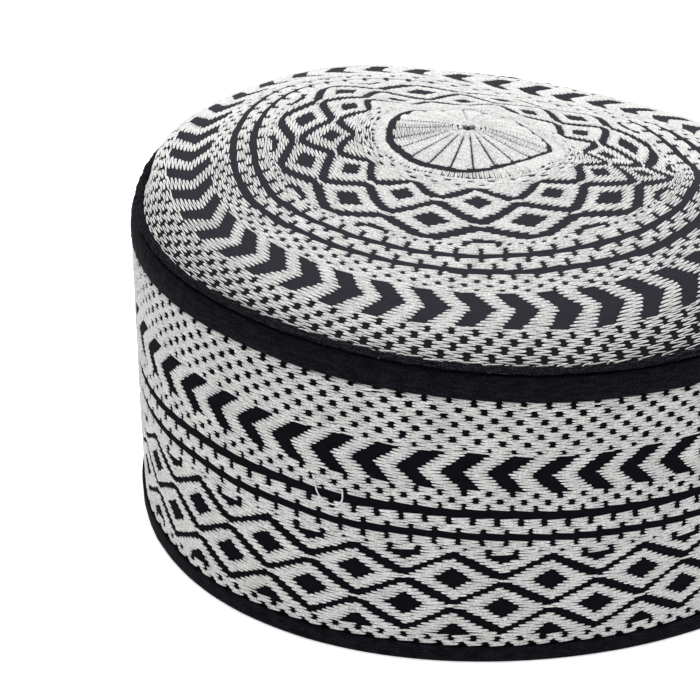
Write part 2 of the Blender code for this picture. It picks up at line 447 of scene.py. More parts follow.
WALL_FACE = 90.3
WALL_PRESSED = 89.6
WALL_INSIDE = 88.0
FACE_TOP = 74.0
FACE_ROWS = 24
FACE_ROW_HEIGHT = 68.4 / FACE_ROWS
CLOTH_UNDER_CROWN = 0.35
CROWN_THICK = 2.0


def wall_face(height):
    """The wall cloth's outer radius, drawn in a little where it goes under its two bindings."""
    return np.interp(height, [4.4, 5.6, 74.0, 76.4], [90.15, WALL_FACE, WALL_FACE, WALL_PRESSED])


def wall_pucker(arc, height):
    """The wall is drawn up slightly by its stitches."""
    low = 0.14 * np.sin(arc / 6.1 + height / 19) * np.sin(height / 8.3 + 0.6)
    return low + 0.12 * np.sin(arc / 13.7 - height / 11 + 0.8)


def crown_pucker(angle, radius):
    low = 0.15 * np.sin(angle * 9 + radius / 9) * np.sin(radius / 6.3 + 1.1)
    return low + 0.12 * np.sin(angle * 5 - radius / 7 + 2.0)


def arc_at(angle):
    return np.interp(angle % math.tau, WALL_ANGLES, WALL_ARCS) - FRONT_ARC


def wall_cloth_relief(angle, radius, height):
    outside = (radius > 89.8) & (height > 5.2) & (height < 75.5)
    return np.where(outside, wall_pucker(arc_at(angle), height), 0.0)


def crown_pucker_fade(radius):
    """The crown's pucker fades out at its middle and at its edge."""
    return np.clip((85.5 - radius) / 4, 0, 1) * np.clip(radius / 6, 0, 1)


def crown_cloth_relief(angle, radius, height):
    outside = height > dome_height(np.minimum(radius, CROWN_EDGE_RADIUS)) - 1.2
    return np.where(outside, 1.0, 0.0) * (crown_pucker(angle, radius) * crown_pucker_fade(radius))


def wall_section():
    face = [(89.2, 79.1), (89.2, 76.6), (WALL_PRESSED, 76.2), (WALL_FACE, FACE_TOP)]
    face += [(WALL_FACE, FACE_TOP - FACE_ROW_HEIGHT * row) for row in range(1, FACE_ROWS + 1)]
    foot = [(90.0, 4.5), (90.0, 1.4), (88.1, 1.4)]
    return face + foot + [(WALL_INSIDE, 3.0), (WALL_INSIDE, 78.8), (88.3, 79.1)]


def crown_section():
    radii = [0.0] + [3.0 * step for step in range(1, 28)] + [82.5, 84.0, 85.3, CROWN_EDGE_RADIUS]
    outer = [(radius, dome_height(radius) - CLOTH_UNDER_CROWN) for radius in radii]
    turned_edge = [(87.0, 83.3), (87.6, 82.5), (88.2, 81.3), (88.4, 79.6)]
    turned_edge += [(86.8, 79.6), (86.5, 81.2), (85.9, 82.0)]
    inner = [(radius - 0.25, dome_height(radius) - CROWN_THICK) for radius in radii[:0:-1]]
    return outer + turned_edge + inner + [(0.0, CROWN_HEIGHT - CROWN_THICK)]


# Charts

Ring = namedtuple("Ring", "length front")
Repeat = namedtuple("Repeat", "count pitch first")
SpotRow = namedtuple("SpotRow", "level half_height half_width repeat")
Chevrons = namedtuple(
    "Chevrons", "low tips high lean_above lean_below width thins_above thins_below points repeat"
)
# A zigzag has its middle and its swing, and turns up at the diamonds of the first row or between them.
Zigzag = namedtuple("Zigzag", "middle swing turn half_thickness")
Diamond = namedtuple("Diamond", "middle half_height half_length")
# A patch is an oblong that lies beside the middle of its motif.
Patch = namedtuple("Patch", "beside half_width level half_height")
Bowl = namedtuple("Bowl", "half_width floor slope top lip")

WALL = Ring(WALL_ROUND, 110.0)
CROWN = Ring(360.0, 75.0)


def turns_at(along, repeat, ring):
    """How many repeats lie between the front's middle and a place. The back takes up the slack."""
    back_pitch = (ring.length - 2 * ring.front) / (repeat.count - 2 * ring.front / repeat.pitch)
    along = (along + ring.length / 2) % ring.length - ring.length / 2
    beyond = np.maximum(np.abs(along) - ring.front, 0.0)
    return np.sign(along) * (np.minimum(np.abs(along), ring.front) / repeat.pitch + beyond / back_pitch)


def share_from(along, repeat, ring):
    """How far a place lies from the nearest motif, from -0.5 to 0.5 of a repeat."""
    turns = turns_at(along, repeat, ring) - turns_at(repeat.first, repeat, ring)
    return turns - np.round(turns)


def spots(along, level, rows, ring, scale=1.0):
    """Bare spots between the bricks of a row."""
    bare = np.zeros(np.shape(along), bool)
    for row in rows:
        aside = np.abs(share_from(along, row.repeat, ring)) * row.repeat.pitch * scale
        up = np.abs(level - row.level)
        bare |= (up < row.half_height) & (aside < row.half_width)
    return bare


def soft_zigzag(share):
    """1 at a motif's middle and -1 half way to the next, with rounded turns."""
    straight = 1 - 4 * np.abs(share)
    return 0.84 * straight + 0.16 * np.sin(straight * math.pi / 2)


def within(level, band):
    return (level > band[0]) & (level < band[-1])


def in_chevrons(along, level, shape, ring):
    """Bars bent at their tips, which point back along the ring where points is 1 and ahead where -1."""
    up = level - shape.tips
    lean = shape.points * np.where(up > 0, shape.lean_above * up, -shape.lean_below * up)
    width = shape.width - np.where(up > 0, shape.thins_above, shape.thins_below) * np.abs(up)
    from_tip = shape.points * share_from(along - lean, shape.repeat, ring) * shape.repeat.pitch
    from_tip = np.where(from_tip < 0, from_tip + shape.repeat.pitch, from_tip)
    return within(level, (shape.low, shape.high)) & (from_tip < width)


def in_zigzags(share, level, lines, falls_thicker=0.0):
    """Lines that swing between the diamonds, and may be thicker where they fall to the right."""
    bare = np.zeros(np.shape(share), bool)
    for line in lines:
        middle = line.middle + line.turn * line.swing * soft_zigzag(share)
        falling = line.turn * np.sin(share * math.tau)
        bare |= np.abs(level - middle) < line.half_thickness + falls_thicker * falling
    return bare


def in_diamond(beside, level, diamond):
    return beside / diamond.half_length + np.abs(level - diamond.middle) / diamond.half_height < 1


def in_patch(beside, level, patch):
    across = np.abs(beside - patch.beside) < patch.half_width
    return across & (np.abs(level - patch.level) < patch.half_height)


def in_bowl(beside, level, bowl):
    above_floor = level > bowl.floor + bowl.slope * beside
    return (beside < bowl.half_width) & above_floor & (level < bowl.top + bowl.lip * beside**2)


# The pitch of the wall's rows of spots: above the chevrons, below them, and at the foot
UPPER = 6.046
LOWER = 5.92
FOOT = 5.88


def upper_row(level, first, half_height=0.85, half_width=0.96):
    return SpotRow(level, half_height, half_width, Repeat(96, UPPER, first))


WALL_SPOTS = [
    upper_row(75.2, -1.0, 0.9, 0.86),
    upper_row(73.05, 1.45),
    upper_row(70.93, -2.1),
    upper_row(68.81, 0.5),
    upper_row(66.69, -2.9),
    upper_row(64.57, -0.05),
    upper_row(62.45, -3.2, 0.62, 0.70),
    SpotRow(49.75, 0.80, 0.80, Repeat(98, LOWER, 2.8)),
    SpotRow(47.80, 0.80, 0.92, Repeat(98, LOWER, -0.2)),
    SpotRow(45.70, 0.95, 0.66, Repeat(98, LOWER, 2.75)),
    SpotRow(41.50, 1.10, 0.84, Repeat(98, LOWER, -1.0)),
    SpotRow(38.95, 0.90, 0.78, Repeat(98, LOWER, 1.5)),
    SpotRow(35.45, 1.05, 0.74, Repeat(98, LOWER, 1.3)),
    SpotRow(7.00, 0.80, 0.84, Repeat(99, FOOT, -0.6)),
]
WALL_LINES = [(42.4, 44.95), (36.15, 38.35)]
WALL_SCALLOPS = Repeat(99, FOOT, 2.3)
WALL_CHEVRONS = Chevrons(
    low=50.6, tips=55.8, high=61.2, lean_above=6.5 / 5.2, lean_below=5.4 / 5.2,
    width=5.8, thins_above=0.0, thins_below=0.9 / 5.2, points=1, repeat=Repeat(52, 11.05, -3.2),
)
WALL_DIAMONDS = Repeat(24, 24.5, 0.0)
WALL_LATTICE = (8.2, 32.9)
WALL_ZIGZAGS = [
    Zigzag(28.50, 3.0, 1, 1.12),
    Zigzag(20.45, 3.05, -1, 1.12),
    Zigzag(12.40, 3.1, 1, 1.12),
]
FALLS_THICKER = 0.32
UPPER_DIAMOND = Diamond(24.5, 3.25, 5.0)
LOWER_DIAMOND = Diamond(16.4, 3.25, 5.1)
# Small horned motifs stand above the lower diamonds, and caps lie below the upper ones.
WALL_HORN = Patch(3.5, 0.90, 32.35, 1.45)
WALL_BOWL = Bowl(3.9, 29.2, 0.55, 32.0, 0.0)
HORN_DOT = Patch(2.9, 0.42, 33.15, 0.40)
CAP_LEVELS = [7.9, 9.2, 11.2]
CAP_HALF_WIDTHS = [4.4, 3.5, 0.6]
FOOT_DOT = Patch(0.0, 0.75, 7.5, 0.5)
FOOT_DOTS_REACH = 3.9
SCALLOP_LEVELS = [4.6, 5.2, 6.1]
SCALLOP_HALF_WIDTHS = [1.7, 1.0, 0.6]
# Two threads bridge every crossing of the lattice.
UPPER_BRIDGE = Patch(0.0, 1.4, 24.5, 0.34)
LOWER_BRIDGE = Patch(0.0, 1.4, 16.45, 0.34)


def wall_thread_shows(arc, height):
    """The wall's chart: true where white thread covers the black cloth."""
    bare = spots(arc, height, WALL_SPOTS, WALL)
    for line in WALL_LINES:
        bare |= within(height, line)
    bare |= in_chevrons(arc, height, WALL_CHEVRONS, WALL)
    share = share_from(arc, WALL_DIAMONDS, WALL)
    bare |= within(height, WALL_LATTICE) & in_zigzags(share, height, WALL_ZIGZAGS, FALLS_THICKER)
    beside_upper = np.abs(share) * WALL_DIAMONDS.pitch
    beside_lower = (0.5 - np.abs(share)) * WALL_DIAMONDS.pitch
    bare |= in_diamond(beside_upper, height, UPPER_DIAMOND)
    bare |= in_diamond(beside_lower, height, LOWER_DIAMOND)
    bare |= in_patch(beside_lower, height, WALL_HORN) | in_bowl(beside_lower, height, WALL_BOWL)
    bare |= in_patch(beside_upper, height, HORN_DOT)
    cap = beside_upper < np.interp(height, CAP_LEVELS, CAP_HALF_WIDTHS)
    bare |= cap & within(height, CAP_LEVELS)
    foot = np.abs(share_from(arc, WALL_SPOTS[-1].repeat, WALL)) * FOOT
    bare |= in_patch(foot, height, FOOT_DOT) & (beside_upper < FOOT_DOTS_REACH)
    scallop = np.abs(share_from(arc, WALL_SCALLOPS, WALL)) * FOOT
    scalloped = scallop < np.interp(height, SCALLOP_LEVELS, SCALLOP_HALF_WIDTHS)
    bare |= scalloped & (height < SCALLOP_LEVELS[-1])
    bridge = in_patch(beside_lower, height, UPPER_BRIDGE) | in_patch(beside_upper, height, LOWER_BRIDGE)
    return ~bare | bridge


def edge_row(level, first, half_width=0.98):
    return SpotRow(level, 0.80, half_width, Repeat(84, 4.286, first))


CROWN_SPOTS = [
    edge_row(86.7, 0.0),
    edge_row(84.95, 2.1),
    edge_row(83.25, -0.15),
    edge_row(81.55, 1.6),
    edge_row(79.85, -0.6, 0.80),
    SpotRow(67.6, 0.45, 0.72, Repeat(66, 5.44, -1.5)),
    SpotRow(66.4, 0.60, 0.80, Repeat(66, 5.44, 1.3)),
    SpotRow(64.9, 0.70, 0.80, Repeat(66, 5.44, -1.4)),
    SpotRow(63.2, 0.90, 0.72, Repeat(66, 5.44, 1.3)),
    SpotRow(60.0, 1.25, 0.76, Repeat(60, 5.87, -3.4)),
    SpotRow(57.5, 1.00, 0.76, Repeat(60, 5.86, -0.6)),
    SpotRow(54.5, 1.15, 0.76, Repeat(56, 6.43, -1.05)),
]
CROWN_CHEVRONS = Chevrons(
    low=68.5, tips=73.5, high=78.8, lean_above=4.5 / 5.3, lean_below=4.3 / 5.0,
    width=4.9, thins_above=0.24, thins_below=0.06, points=-1, repeat=Repeat(42, 8.55, -1.0),
)
# The diamonds were not sewn quite evenly: where each outer one and then the inner one after it lies
DIAMONDS_AT = [-10.5, 5.7, 21.9, 38.0, 53.9, 67.8, 81.9, 96.4, 110.8, 124.6, 138.3, 153.0]
DIAMONDS_AT += [168.6, 183.4, 197.9, 213.0, 228.8, 242.8, 258.5, 273.9, 288.8, 304.5, 319.2, 334.4]
DIAMOND_PITCH = 30.0
CROWN_LATTICE = (29.3, 51.2)
CROWN_ZIGZAGS = [
    Zigzag(48.25, 2.75, 1, 1.36),
    Zigzag(40.20, 3.55, -1, 1.44),
    Zigzag(32.30, 2.85, 1, 1.32),
]
OUTER_DIAMOND = Diamond(44.0, 2.95, 6.4)
INNER_DIAMOND = Diamond(35.6, 2.85, 5.6)
# Small eared motifs stand outside the inner diamonds, and dots outside the outer ones.
CROWN_EAR = Patch(4.3, 0.85, 51.8, 1.2)
CROWN_BOWL = Bowl(5.0, 49.7, 0.22, 51.4, 0.4 / 4.5**2)
EYE_DOTS = Repeat(112, 3.215, 0.55)
EYE_DOT = Patch(0.0, 0.58, 52.4, 0.34)
EYE_DOTS_REACH = 8.5
DASHES = Repeat(30, 11.95, -3.2)
OUTER_DASH = Patch(0.0, 0.88, 28.2, 0.42)
INNER_DASH = Patch(0.0, 0.88, 26.6, 0.42)
DASHES_CLEAR = 3
OUTER_BRIDGE = Patch(0.0, 1.9, 44.6, 0.42)
INNER_BRIDGE = Patch(0.0, 2.2, 35.9, 0.42)
# The two level rings and the bare ring round the medallion waver: their middles, and the half width of
# the last, by degrees from the front. The rows of spots between the level rings waver with them.
RING_PLACES = [-90, -60, -40, -5, 15, 40, 60, 90, 180, 270]
UPPER_RING = [62.3, 61.9, 61.2, 61.3, 61.7, 62.6, 62.8, 62.3, 62.0, 62.3]
LOWER_RING = [56.8, 56.6, 56.1, 56.1, 56.2, 56.9, 57.0, 56.6, 56.4, 56.8]
MEDALLION_HALF = [1.1, 1.1, 1.1, 0.95, 0.8, 0.6, 0.6, 0.7, 0.9, 1.1]
MEDALLION_EDGE = [20.2, 20.7, 21.3, 21.5, 20.4, 19.1, 19.9, 20.6, 20.4, 20.2]
UPPER_RING_LEVEL = 61.6
LOWER_RING_LEVEL = 56.2
UPPER_RING_HALF = 0.98
LOWER_RING_HALF = 0.92
BETWEEN_RINGS = 59.0
WAVERING_BAND = (53.4, 69.0)
# The medallion's satin lobes are parted by lines, which fade out near the middle.
LOBES = Repeat(22, 16.4, 5.7)
LOBE_NOTCH = 0.35
LOBE_BULGE = 0.60
LOBES_END = 25.4
PARTING_PLACES = [4.5, 6.0, 18.0]
PARTING_HALF_WIDTHS = [0.0, 0.24, 0.30]
FRONT_DEGREES = [30, 60]
FRONT_WIDENING = [0.10, 0.0]


def wavering(middles, degrees):
    return np.interp((degrees + 90) % 360 - 90, RING_PLACES, middles)


def crown_diamond_share(degrees):
    """How far a place lies from the nearest outer diamond, from -0.5 to 0.5 of a repeat."""
    places = np.array(DIAMONDS_AT + [DIAMONDS_AT[0] + 360])
    turns = np.interp((degrees - places[0]) % 360 + places[0], places, np.arange(25) / 2)
    return turns - np.round(turns)


def crown_thread_shows(degrees, radius):
    """The crown's chart, on degrees round from the front and the distance from the middle."""
    scale = radius * math.pi / 180
    upper = radius - wavering(UPPER_RING, degrees) + UPPER_RING_LEVEL
    lower = radius - wavering(LOWER_RING, degrees) + LOWER_RING_LEVEL
    drawn = np.where(radius > BETWEEN_RINGS, upper, lower)
    drawn = np.where(within(radius, WAVERING_BAND), drawn, radius)
    bare = spots(degrees, drawn, CROWN_SPOTS, CROWN, scale)
    bare |= np.abs(drawn - UPPER_RING_LEVEL) < UPPER_RING_HALF
    bare |= np.abs(drawn - LOWER_RING_LEVEL) < LOWER_RING_HALF
    bare |= in_chevrons(degrees, radius, CROWN_CHEVRONS, CROWN)
    share = crown_diamond_share(degrees)
    bare |= within(radius, CROWN_LATTICE) & in_zigzags(share, radius, CROWN_ZIGZAGS)
    beside_outer = np.abs(share) * DIAMOND_PITCH
    beside_inner = (0.5 - np.abs(share)) * DIAMOND_PITCH
    bare |= in_diamond(beside_outer, radius, OUTER_DIAMOND)
    bare |= in_diamond(beside_inner, radius, INNER_DIAMOND)
    bare |= in_patch(beside_inner, radius, CROWN_EAR) | in_bowl(beside_inner, radius, CROWN_BOWL)
    dot = np.abs(share_from(degrees, EYE_DOTS, CROWN)) * EYE_DOTS.pitch * scale
    bare |= in_patch(dot, radius, EYE_DOT) & (beside_outer < EYE_DOTS_REACH)
    dash_share = np.abs(share_from(degrees, DASHES, CROWN))
    dash = dash_share * DASHES.pitch * scale
    half_dash = np.abs(dash_share - 0.5) * DASHES.pitch * scale
    bare |= in_patch(dash, radius, OUTER_DASH) & (beside_outer > DASHES_CLEAR)
    bare |= in_patch(half_dash, radius, INNER_DASH)
    edge = radius - wavering(MEDALLION_EDGE, degrees)
    parting = share_from(degrees, LOBES, CROWN)
    scallop = LOBE_NOTCH - LOBE_BULGE * (1 - 2 * np.abs(parting)) ** 2
    bare |= (edge > scallop - wavering(MEDALLION_HALF, degrees)) & (radius < LOBES_END)
    ahead = np.abs((degrees + 180) % 360 - 180)
    line_width = np.interp(radius, PARTING_PLACES, PARTING_HALF_WIDTHS)
    line_width = line_width + np.interp(ahead, FRONT_DEGREES, FRONT_WIDENING)
    bare |= (np.abs(parting) * LOBES.pitch * scale < line_width) & (edge < 0)
    bridge = in_patch(beside_inner, radius, OUTER_BRIDGE) | in_patch(beside_outer, radius, INNER_BRIDGE)
    return ~bare | bridge


# Stitches

THREAD_PITCH = 0.424
THREAD_HALF_WIDTH = 0.171
ENDS_REACH = 0.22
THREAD_HEIGHT = 0.36
TAPER_LENGTH = 0.50
TAPER_SHARES = (0.06, 0.30)
LOOK_STEP = 0.12
SHORTEST = 0.55
LONGEST = 8.5
EDGE_REACH = 1.1
NO_EDGE = 9.0
NUDGE = 0.025
Stitches = namedtuple("Stitches", "start_along start_level end_along end_level")


def wall_place(arc, height, lift):
    """A place on the wall's embroidery, in metres."""
    wander = 0.22 * np.sin(arc / 11 + height / 30) + 0.12 * np.sin(arc / 4.7 + height / 9)
    wander = wander * np.clip((height - 5) / 5, 0, 1) * np.clip((75.5 - height) / 4, 0, 1)
    angle = np.interp((arc + FRONT_ARC) % WALL_ROUND, WALL_ARCS, WALL_ANGLES)
    radius = wall_face(height) + lift + wall_pucker(arc, height)
    return (soft_form(angle, radius, height + wander) - MIDDLE) * MM


def crown_place(degrees, radius, lift):
    """A place on the crown's embroidery, in metres."""
    angle = np.radians(degrees - 90)
    wander = 0.20 * np.sin(angle * 7 + radius / 9) + 0.10 * np.sin(angle * 23 + radius / 5)
    radius = radius + wander * np.clip((85 - radius) / 5, 0, 1) * np.clip(radius / 8, 0, 1)
    slope = (dome_height(radius + 0.05) - dome_height(radius - 0.05)) / 0.1
    steep = np.sqrt(1 + slope**2)
    lift = lift + crown_pucker(angle, radius) * crown_pucker_fade(radius)
    height = dome_height(radius) - CLOTH_UNDER_CROWN + lift / steep
    return (soft_form(angle, radius - slope / steep * lift, height, True) - MIDDLE) * MM


def runs_in_row(shows, ring, level, scale):
    """Start and end of each stretch of thread along one row."""
    count = int(ring.length * scale / LOOK_STEP)
    step = ring.length / count
    along = (np.arange(count) + 0.5) * step - ring.length / 2
    on = shows(along, np.full(count, level))
    first = int(np.argmin(on))
    on = np.roll(on, -first)
    along = along[first] + np.arange(count) * step
    change = np.diff(on.astype(int), append=0)
    starts = along[np.flatnonzero(change == 1)] + step / 2
    ends = along[np.flatnonzero(change == -1)] + step / 2
    if on.all():
        starts, ends = along[:1], along[-1:]
    return starts, ends


def cut_long_runs(starts, ends, scale):
    pieces = []
    for start, end in zip(starts, ends):
        length = (end - start) * scale
        if length < SHORTEST:
            continue
        parts = max(1, math.ceil(length / LONGEST))
        cuts = np.linspace(start, end, parts + 1)
        cuts[1:-1] += chance.uniform(-0.25, 0.25, parts - 1) * (end - start) / parts
        pieces += list(zip(cuts[:-1], cuts[1:]))
    return np.array(pieces).reshape(-1, 2)


def nearest_edge(shows, along, level, scale, opening):
    """How far the chart's edge lies from a stitch's end, at the level where two threads meet."""
    offsets = np.linspace(-EDGE_REACH, EDGE_REACH, 23) / scale
    on = shows(along[:, None] + offsets, np.repeat(level[:, None], len(offsets), axis=1))
    edge = (~on[:, :-1] & on[:, 1:]) if opening else (on[:, :-1] & ~on[:, 1:])
    middles = (offsets[:-1] + offsets[1:]) / 2
    cost = np.where(edge, np.abs(middles), NO_EDGE)
    best = np.argmin(cost, axis=1)
    return np.where(cost[np.arange(len(along)), best] < NO_EDGE, middles[best], 0.0)


def uneven(along, level):
    """A small repeatable unevenness, the same for two threads that end together."""
    return (np.sin(np.round(along) * 12.9898 + level * 78.233) * 43758.5453) % 1 - 0.5


def sewn_rows(shows, ring, low, high, scale_at, meet, fray):
    """All stitches of the rows between two levels. Neighbouring threads meet at their ends in turn."""
    rows = []
    for row in range(math.ceil(low / THREAD_PITCH), math.ceil(high / THREAD_PITCH)):
        level = row * THREAD_PITCH
        scale = scale_at(level)
        starts, ends = runs_in_row(shows, ring, level, scale)
        pieces = cut_long_runs(starts, ends, scale)
        if not len(pieces):
            continue
        turn = 1 if row % 2 else -1
        start_level = np.full(len(pieces), level + turn * THREAD_PITCH / 2)
        end_level = np.full(len(pieces), level - turn * THREAD_PITCH / 2)
        start = pieces[:, 0] + nearest_edge(shows, pieces[:, 0], start_level, scale, True)
        end = pieces[:, 1] + nearest_edge(shows, pieces[:, 1], end_level, scale, False)
        start = start + (uneven(start * scale, start_level) * fray - ENDS_REACH) / scale
        end = end + (uneven(end * scale, end_level) * fray + ENDS_REACH) / scale
        long_enough = (end - start) * scale > SHORTEST
        nudge = chance.normal(0, NUDGE, len(pieces))
        row_of_stitches = [start, level + nudge + turn * meet, end, level + nudge - turn * meet]
        rows.append(np.stack(row_of_stitches, axis=-1)[long_enough])
    return Stitches(*np.concatenate(rows).T)


def thread_pattern():
    """One stitch on a small grid: how far along it each point is, and how far to its side."""
    shape = bmesh.new()
    bmesh.ops.create_grid(shape, x_segments=4, y_segments=3, size=1.0)
    shape.verts.ensure_lookup_table()
    places = np.array([vertex.co[:2] for vertex in shape.verts])
    faces = np.array([[vertex.index for vertex in face.verts] for face in shape.faces])
    shape.free()
    station = np.round((places[:, 0] + 1) * 2).astype(int)
    side = np.round((places[:, 1] + 1) * 1.5).astype(int)
    return station, side, faces


STATION, SIDE, STITCH_FACES = thread_pattern()
SIDE_PLACE = np.array([-1.0, -0.5, 0.5, 1.0])
SIDE_CREST = np.array([0.0, 1.0, 1.0, 0.0])
STATION_WIDTH = np.array([0.42, 0.96, 1.0, 0.96, 0.42])
STATION_CREST = np.array([0.12, 0.85, 1.0, 0.85, 0.12])
SUNK = -0.08


def stitch_mesh(name, place, stitches):
    """Joins one raised thread for every stitch into a mesh."""
    start_along, start_level, end_along, end_level = stitches
    count = len(start_along)
    run = place(end_along, end_level, 0.0) - place(start_along, start_level, 0.0)
    length = np.linalg.norm(run, axis=1) / MM
    taper = np.clip(TAPER_LENGTH / np.maximum(length, 0.3), *TAPER_SHARES)
    half = THREAD_HALF_WIDTH * chance.uniform(0.90, 1.10, count)
    crest = THREAD_HEIGHT * chance.uniform(0.82, 1.12, count)
    at = np.stack([np.zeros(count), taper, np.full(count, 0.5), 1 - taper, np.ones(count)], axis=-1)
    along = start_along[:, None] * (1 - at) + end_along[:, None] * at
    level = start_level[:, None] * (1 - at) + end_level[:, None] * at
    line = place(along, level, 0.0)
    above = place(along, level, 1.0) - line
    above /= np.linalg.norm(above, axis=-1, keepdims=True)
    sideways = np.cross(above, run[:, None, :])
    sideways /= np.linalg.norm(sideways, axis=-1, keepdims=True)
    width = half[:, None] * STATION_WIDTH
    rise = crest[:, None] * STATION_CREST
    points = (
        line[:, STATION]
        + sideways[:, STATION] * (width[:, STATION] * SIDE_PLACE[SIDE])[..., None] * MM
        + above[:, STATION] * (SUNK + (rise[:, STATION] - SUNK) * SIDE_CREST[SIDE])[..., None] * MM
    )
    faces = STITCH_FACES[None] + np.arange(count)[:, None, None] * len(STATION)
    mesh = bpy.data.meshes.new(name)
    mesh.from_pydata(points.reshape(-1, 3), [], faces.reshape(-1, 4))
    mesh.update()
    return mesh


def joined_stitches(*groups):
    return Stitches(*(np.concatenate(column) for column in zip(*groups)))


def embroidered(name, place, finish, *groups):
    mesh = stitch_mesh(name, place, joined_stitches(*groups))
    return finished_object(name, mesh, finish)


def radial_satin(outer, spacing):
    """A ring of short stitches round the medallion, that point to the middle."""
    count = int(math.tau * outer / spacing)
    along = (np.arange(count) + chance.uniform(-0.2, 0.2, count)) * 360 / count
    inner = wavering(MEDALLION_EDGE, along) + wavering(MEDALLION_HALF, along)
    return Stitches(
        along,
        inner + chance.uniform(-0.1, 0.25, count),
        along + chance.uniform(-0.35, 0.35, count),
        outer + chance.uniform(-1.1, 0.5, count),
    )


LOOSE_THREAD = 0.19
# The large loop at the left of the wall and two threads over it
LOOSE_LOOPS = [
    [(-34.8, 46.9, 0.4), (-34.2, 45.2, 1.1), (-33.0, 43.3, 1.4), (-31.0, 42.3, 1.4), (-28.8, 42.2, 1.3),
     (-27.4, 43.2, 1.2), (-27.1, 44.6, 0.9), (-27.5, 46.4, 0.4)],
    [(-35.4, 48.4, 0.4), (-33.8, 47.4, 1.1), (-31.6, 46.9, 1.2), (-29.8, 47.3, 0.5)],
    [(-35.2, 47.5, 0.4), (-33.2, 48.3, 1.0), (-31.4, 48.0, 1.1), (-30.2, 46.6, 0.4)],
]


def loose_threads(name, place, paths, finish):
    """Threads that stand a little off the cloth. A path lists places and how far off they lie."""
    curve = bpy.data.curves.new(name + "_curve", "CURVE")
    curve.dimensions = "3D"
    curve.bevel_depth = LOOSE_THREAD * MM
    curve.bevel_resolution = 1
    curve.resolution_u = 5
    for path in paths:
        line = curve.splines.new("NURBS")
        line.points.add(len(path) - 1)
        line.use_endpoint_u = True
        line.order_u = 3
        weighted = np.column_stack([place(*np.array(path).T), np.ones(len(path))])
        line.points.foreach_set("co", weighted.astype(np.float32).ravel())
    helper = bpy.data.objects.new(name + "_helper", curve)
    bpy.context.scene.collection.objects.link(helper)
    graph = bpy.context.evaluated_depsgraph_get()
    mesh = bpy.data.meshes.new_from_object(helper.evaluated_get(graph))
    mesh.name = name
    mesh.materials.clear()
    bpy.data.objects.remove(helper)
    bpy.data.curves.remove(curve)
    return finished_object(name, mesh, finish)


def slack_paths(row, ring, scale, share_of_spots, reach, drop):
    """Slack threads that bow across some of a row's spots."""
    turns = np.arange(row.repeat.count)
    along = row.repeat.first + turns * ring.length / row.repeat.count
    paths = []
    for middle in along[chance.random(len(along)) < share_of_spots]:
        out = chance.uniform(*reach) / scale
        fall = chance.uniform(-drop, drop)
        sag = chance.uniform(0.2, 0.6)
        level = row.level + chance.uniform(-0.3, 0.5)
        paths.append([
            (middle - out, level + fall, 0.15), (middle - out / 3, level - sag, 0.6),
            (middle + out / 2, level - sag, 0.6), (middle + out, level - fall, 0.15),
        ])
    return paths


# Bindings

STRIP_FACE = [(89.0, 82.7), (89.7, 81.9), (90.25, 80.6), (90.5, 79.2), (90.6, 77.6), (90.5, 76.35)]
STRIP_BACK = [(89.75, 76.3), (89.5, 78.0), (89.4, 79.2), (89.2, 80.4), (88.9, 81.3), (88.4, 82.1)]
PIPING = [(86.9, 84.2), (87.5, 84.65), (88.2, 84.7), (88.9, 84.3)]
PIPING += [(89.4, 83.8), (89.1, 83.5), (88.4, 83.2), (87.6, 83.5)]
HEM_OUTSIDE = [(90.3, 4.5), (90.9, 4.65), (91.2, 4.3), (91.3, 2.4), (91.2, 0.5), (90.6, 0.02)]
HEM_INSIDE = [(87.4, 0.02), (86.75, 0.5), (86.7, 5.0), (87.0, 5.4), (87.6, 5.4), (87.7, 1.1), (90.3, 1.1)]


def strip_section():
    return smooth_section(rounded_section(STRIP_FACE), 0.5) + rounded_section(STRIP_BACK, 1)


def piping_section():
    return rounded_section(PIPING + PIPING[:1], 1)[:-1]


def hem_section():
    outside = smooth_section(rounded_section(HEM_OUTSIDE), 0.8)
    return outside + smooth_section(rounded_section(HEM_INSIDE, 1), 2.0)


def noise_along(lengths, seed):
    return noise_over(np.stack(lengths, axis=-1), 1.0, seed)


def ridges(lengths, seed):
    """Sharp crests between soft hollows, from -3 to 1."""
    return 1 - 4 * np.abs(noise_along(lengths, seed))


def strip_relief(angle, radius, height):
    """Fine upright wrinkles, a few level creases at the front and a slow waviness, outside only."""
    arc = arc_at(angle)
    flat = radius * 0
    upright = ridges([arc / 3.2, height / 14, flat], 1)
    level = ridges([arc / 22, height / 2.4, flat], 2)
    broad = noise_along([arc / 9, height / 7, flat], 3)
    front = np.clip((arc + 75) / 50, 0, 1)
    outside = np.clip((radius - 89.3) / 0.6, 0, 1)
    return outside * (0.10 * upright * (1 - 0.7 * front) + 0.10 * level * front + 0.20 * broad)


def piping_relief(angle, radius, height):
    """A twisted, pinched roll: slanting wrinkles over slow lumps."""
    arc = arc_at(angle)
    across = height - radius
    lumps = noise_along([arc / 2.4, radius / 1.5, height / 1.5], 4)
    slow = noise_along([arc / 8, radius / 3, height / 3], 5)
    twist = ridges([arc / 3.0 + across / 1.2, across / 1.6, radius * 0], 8)
    return 0.24 * lumps + 0.26 * slow + 0.10 * twist


def hem_relief(angle, radius, height):
    """Shallow folds and fine unevenness on the outside, none where the hem stands."""
    arc = arc_at(angle)
    folds = noise_along([arc / 7, height / 3, radius * 0], 6)
    small = noise_along([arc / 1.8, height / 1.6, radius * 0], 7)
    outside = np.clip((radius - 90.7) / 0.4, 0, 1) * np.clip(height / 0.6, 0, 1)
    return outside * (0.16 * folds + 0.06 * small)


# Making the cap

